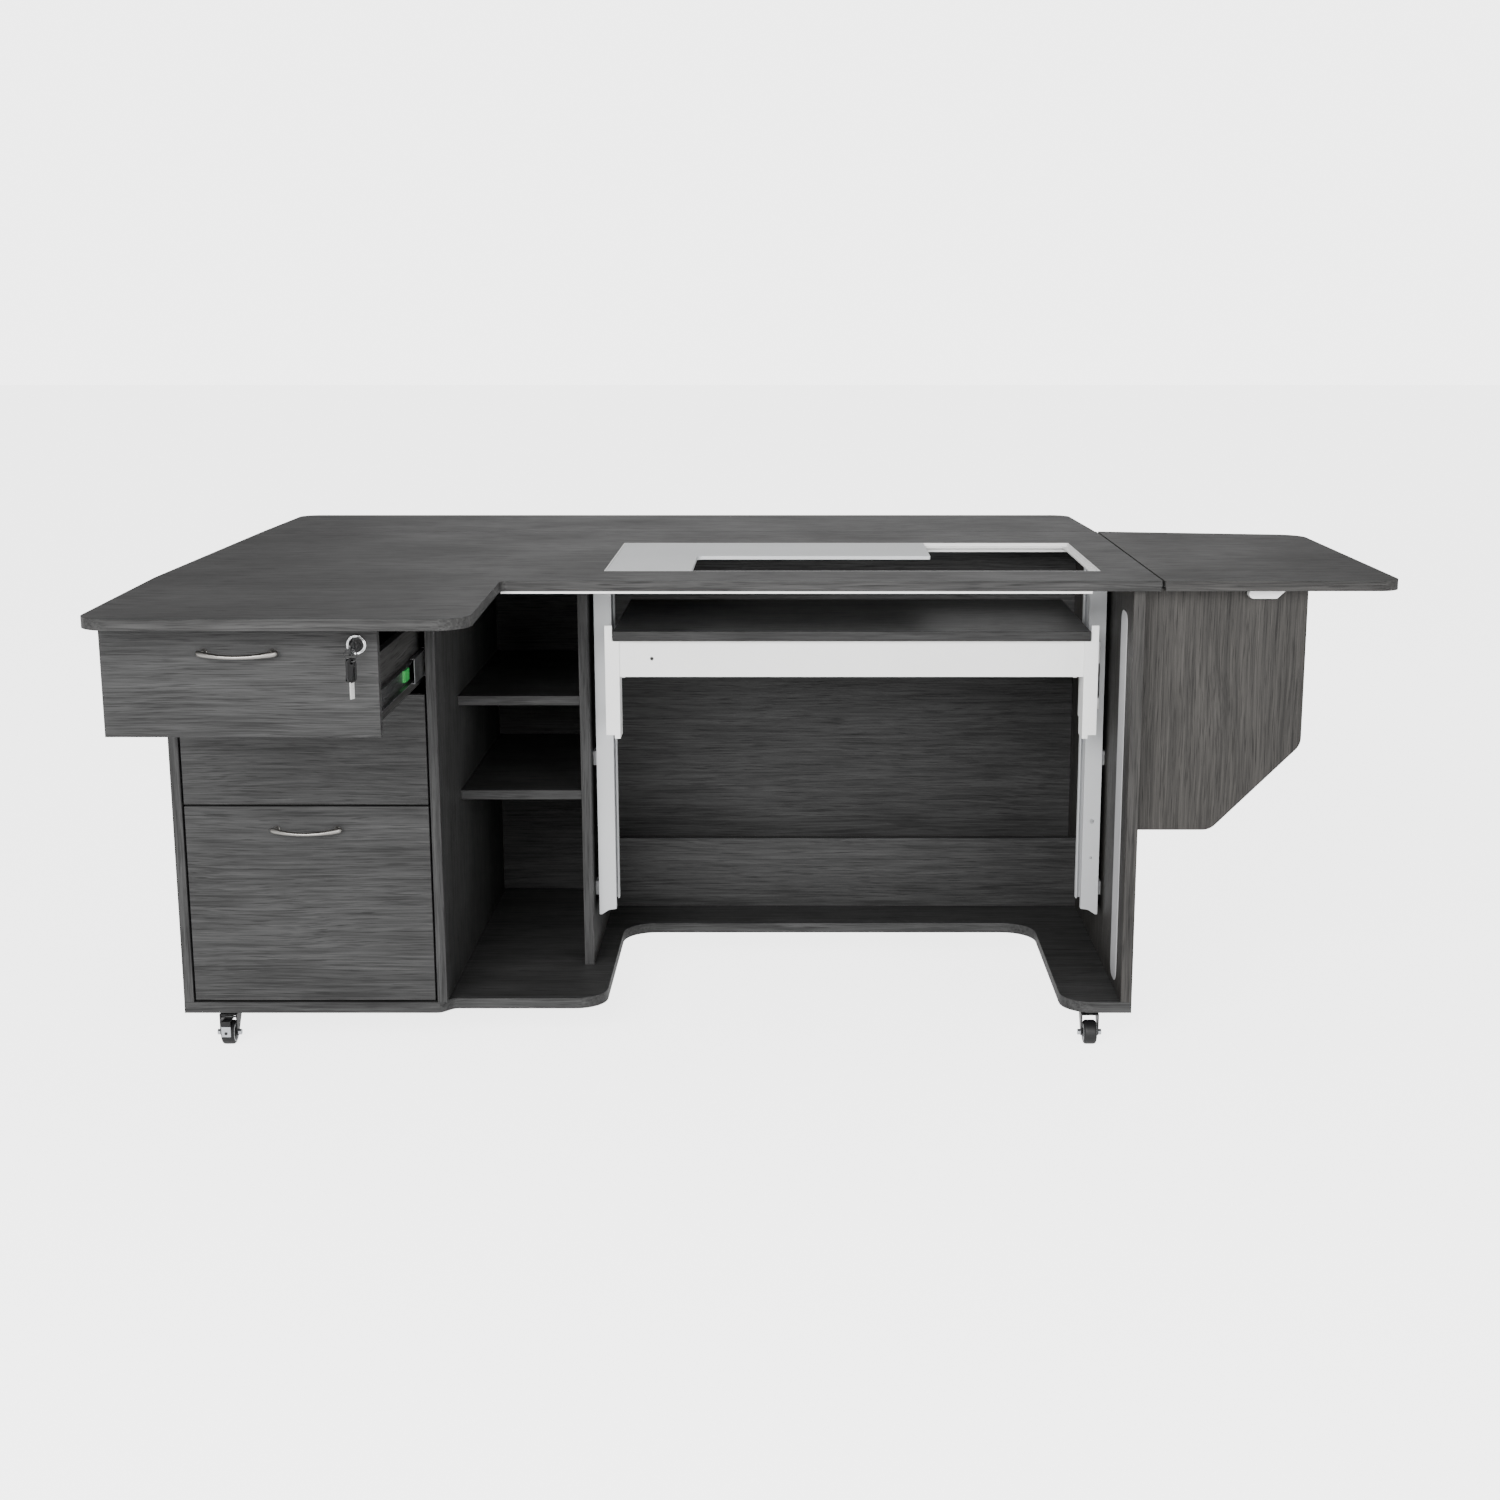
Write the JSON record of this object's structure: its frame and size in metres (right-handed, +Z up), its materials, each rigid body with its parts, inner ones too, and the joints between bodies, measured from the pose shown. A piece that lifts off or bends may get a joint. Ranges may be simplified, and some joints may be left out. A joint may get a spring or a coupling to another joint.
{
  "type": "sewing table",
  "caption": "L-shaped sewing cabinet on casters, with drawers, a shelf bay, a kneehole, a machine lift under a worktop opening, and hinged side and rear leaves.",
  "frame": {"origin": "on the floor, under the centre of the plan with both leaves out", "axes": "+X to the sitter's right, +Y away from the sitter to the rear leaf, +Z up"},
  "size_m": [1.951, 1.461, 0.7715],
  "materials": {
    "charcoal_board": "charcoal woodgrain melamine, matt, on particle board",
    "warm_board": "warm charcoal woodgrain melamine, matt",
    "platform_board": "dark woodgrain melamine, matt",
    "white_powder_coat": "white powder coat, satin",
    "white_plastic": "white, satin",
    "grey_powder_coat": "light grey powder coat, satin",
    "zinc": "bright zinc plate",
    "satin_nickel": "satin nickel",
    "chrome": "polished chrome",
    "black_key": "black key heads",
    "frosted_insert": "frosted white acrylic",
    "black_paint": "black enamel, satin",
    "black_plastic": "black nylon, satin"
  },
  "bodies": {
    "carcase": {"base_board": "charcoal_board", "drawer_unit_left_panel": "charcoal_board", "drawer_unit_right_panel": "charcoal_board", "shelf_bay_panel": "charcoal_board", "right_end_panel": "warm_board", "back_panel": "charcoal_board", "kick_board": "charcoal_board", "shelves": "charcoal_board", "main_top": "charcoal_board", "front_stiffener": "white_powder_coat", "opening_liner": "white_plastic", "lift_rails": "grey_powder_coat", "fixing_screws": "zinc", "gas_strut_cylinders": "black_paint", "runner_outer_members": "zinc", "side_strip": "grey_powder_coat", "fixed_hinge_plates": "zinc", "caster_plates": "black_plastic"},
    "top_drawer": {"top_drawer_front": "charcoal_board", "top_drawer_box": "warm_board", "top_drawer_handle": "satin_nickel", "top_drawer_runners": "zinc", "drawer_lock": "chrome"},
    "middle_drawer": {"middle_drawer_front": "charcoal_board", "middle_drawer_box": "warm_board", "middle_drawer_handle": "satin_nickel", "middle_drawer_runners": "zinc"},
    "bottom_drawer": {"bottom_drawer_front": "charcoal_board", "bottom_drawer_box": "warm_board", "bottom_drawer_handle": "satin_nickel", "bottom_drawer_runners": "zinc"},
    "top_links": {"top_runner_links": "zinc"},
    "middle_links": {"middle_runner_links": "zinc"},
    "bottom_links": {"bottom_runner_links": "zinc"},
    "key": {"drawer_key": "black_key"},
    "spare_key": {"spare_key": "black_key"},
    "lift": {"lift_platform": "platform_board", "lift_frame": "white_powder_coat"},
    "strut_rods": {"gas_strut_rods": "chrome"},
    "left_pin": {"left_lock_pin": "white_powder_coat"},
    "right_pin": {"right_lock_pin": "white_powder_coat"},
    "side_leaf": {"side_leaf": "warm_board", "leaf_stop": "white_plastic", "side_leaf_hinge": "zinc"},
    "gate": {"side_gate": "warm_board", "gate_hinge": "zinc"},
    "rear_leaf": {"rear_leaf": "charcoal_board", "rear_leaf_hinge": "zinc"},
    "stays": {"rear_leaf_stays": "zinc"},
    "insert": {"machine_insert": "frosted_insert"},
    "front_left_swivel": {"front_left_fork": "black_plastic"},
    "front_left_wheel": {"front_left_wheel": "black_plastic"},
    "front_right_swivel": {"front_right_fork": "black_plastic"},
    "front_right_wheel": {"front_right_wheel": "black_plastic"},
    "rear_left_swivel": {"rear_left_fork": "black_plastic"},
    "rear_left_wheel": {"rear_left_wheel": "black_plastic"},
    "rear_right_swivel": {"rear_right_fork": "black_plastic"},
    "rear_right_wheel": {"rear_right_wheel": "black_plastic"},
    "front_left_pedal": {"front_left_pedal": "zinc"},
    "rear_right_pedal": {"rear_right_pedal": "zinc"}
  },
  "joints": [
    {"name": "top_drawer_slide", "type": "slide", "parent": "carcase", "child": "top_drawer", "axis": [0, -1, 0], "range_m": [-0.348, 0.052]},
    {"name": "middle_drawer_slide", "type": "slide", "parent": "carcase", "child": "middle_drawer", "axis": [0, -1, 0], "range_m": [0, 0.4]},
    {"name": "bottom_drawer_slide", "type": "slide", "parent": "carcase", "child": "bottom_drawer", "axis": [0, -1, 0], "range_m": [0, 0.4]},
    {"name": "top_links_slide", "type": "slide", "parent": "carcase", "child": "top_links", "axis": [0, -1, 0], "range_m": [-0.174, 0.026]},
    {"name": "middle_links_slide", "type": "slide", "parent": "carcase", "child": "middle_links", "axis": [0, -1, 0], "range_m": [0, 0.2]},
    {"name": "bottom_links_slide", "type": "slide", "parent": "carcase", "child": "bottom_links", "axis": [0, -1, 0], "range_m": [0, 0.2]},
    {"name": "key_turn", "type": "hinge", "parent": "top_drawer", "child": "key", "pos_m": [-0.5805, -0.6545, 0.725], "axis": [0, 1, 0], "range_deg": [0, 90]},
    {"name": "spare_key_swing", "type": "hinge", "parent": "key", "child": "spare_key", "pos_m": [-0.5805, -0.6955, 0.725], "axis": [1, 0, 0], "range_deg": [-80, 10]},
    {"name": "lift_slide", "type": "slide", "parent": "carcase", "child": "lift", "axis": [0, 0, 1], "range_m": [-0.29, 0.074]},
    {"name": "strut_slide", "type": "slide", "parent": "carcase", "child": "strut_rods", "axis": [0, 0, 1], "range_m": [-0.145, 0.037]},
    {"name": "left_pin_slide", "type": "slide", "parent": "lift", "child": "left_pin", "axis": [-1, 0, 0], "range_m": [0, 0.006]},
    {"name": "right_pin_slide", "type": "slide", "parent": "lift", "child": "right_pin", "axis": [1, 0, 0], "range_m": [0, 0.006]},
    {"name": "side_leaf_hinge", "type": "hinge", "parent": "carcase", "child": "side_leaf", "pos_m": [0.604, 0.0435, 0.7587], "axis": [0, -1, 0], "range_deg": [0, 10]},
    {"name": "gate_hinge", "type": "hinge", "parent": "carcase", "child": "gate", "pos_m": [0.5829, -0.2561, 0.555], "axis": [0, 0, 1], "range_deg": [0, 90]},
    {"name": "rear_leaf_hinge", "type": "hinge", "parent": "carcase", "child": "rear_leaf", "pos_m": [-0.2005, 0.412, 0.7587], "axis": [1, 0, 0], "range_deg": [-90, 0]},
    {"name": "stays_hinge", "type": "hinge", "parent": "carcase", "child": "stays", "pos_m": [-0.1905, 0.4015, 0.4797], "axis": [1, 0, 0], "range_deg": [-135, 0]},
    {"name": "insert_lift_off", "type": "slide", "parent": "carcase", "child": "insert", "axis": [0, 0, 1], "range_m": [0, 0.08]},
    {"name": "front_left_swivel", "type": "hinge", "parent": "carcase", "child": "front_left_swivel", "pos_m": [-0.8975, -0.2595, 0.055], "axis": [0, 0, 1], "continuous": true},
    {"name": "front_left_spin", "type": "hinge", "parent": "front_left_swivel", "child": "front_left_wheel", "pos_m": [-0.8975, -0.2755, 0.02], "axis": [1, 0, 0], "continuous": true},
    {"name": "front_right_swivel", "type": "hinge", "parent": "carcase", "child": "front_right_swivel", "pos_m": [0.5165, -0.2595, 0.055], "axis": [0, 0, 1], "continuous": true},
    {"name": "front_right_spin", "type": "hinge", "parent": "front_right_swivel", "child": "front_right_wheel", "pos_m": [0.5165, -0.2755, 0.02], "axis": [1, 0, 0], "continuous": true},
    {"name": "rear_left_swivel", "type": "hinge", "parent": "carcase", "child": "rear_left_swivel", "pos_m": [-0.8975, 0.3465, 0.055], "axis": [0, 0, 1], "continuous": true},
    {"name": "rear_left_spin", "type": "hinge", "parent": "rear_left_swivel", "child": "rear_left_wheel", "pos_m": [-0.8975, 0.3305, 0.02], "axis": [1, 0, 0], "continuous": true},
    {"name": "rear_right_swivel", "type": "hinge", "parent": "carcase", "child": "rear_right_swivel", "pos_m": [0.5165, 0.3465, 0.055], "axis": [0, 0, 1], "continuous": true},
    {"name": "rear_right_spin", "type": "hinge", "parent": "rear_right_swivel", "child": "rear_right_wheel", "pos_m": [0.5165, 0.3305, 0.02], "axis": [1, 0, 0], "continuous": true},
    {"name": "front_left_brake", "type": "hinge", "parent": "front_left_swivel", "child": "front_left_pedal", "pos_m": [-0.8975, -0.2755, 0.046], "axis": [1, 0, 0], "range_deg": [-25, 0]},
    {"name": "rear_right_brake", "type": "hinge", "parent": "rear_right_swivel", "child": "rear_right_pedal", "pos_m": [0.5165, 0.3305, 0.046], "axis": [1, 0, 0], "range_deg": [-25, 0]}
  ],
  "couplings": [
    {"joint": "top_links_slide", "follows": "top_drawer_slide", "ratio": 0.5},
    {"joint": "middle_links_slide", "follows": "middle_drawer_slide", "ratio": 0.5},
    {"joint": "bottom_links_slide", "follows": "bottom_drawer_slide", "ratio": 0.5},
    {"joint": "strut_slide", "follows": "lift_slide", "ratio": 0.5},
    {"joint": "stays_hinge", "follows": "rear_leaf_hinge", "ratio": 1.5}
  ]
}
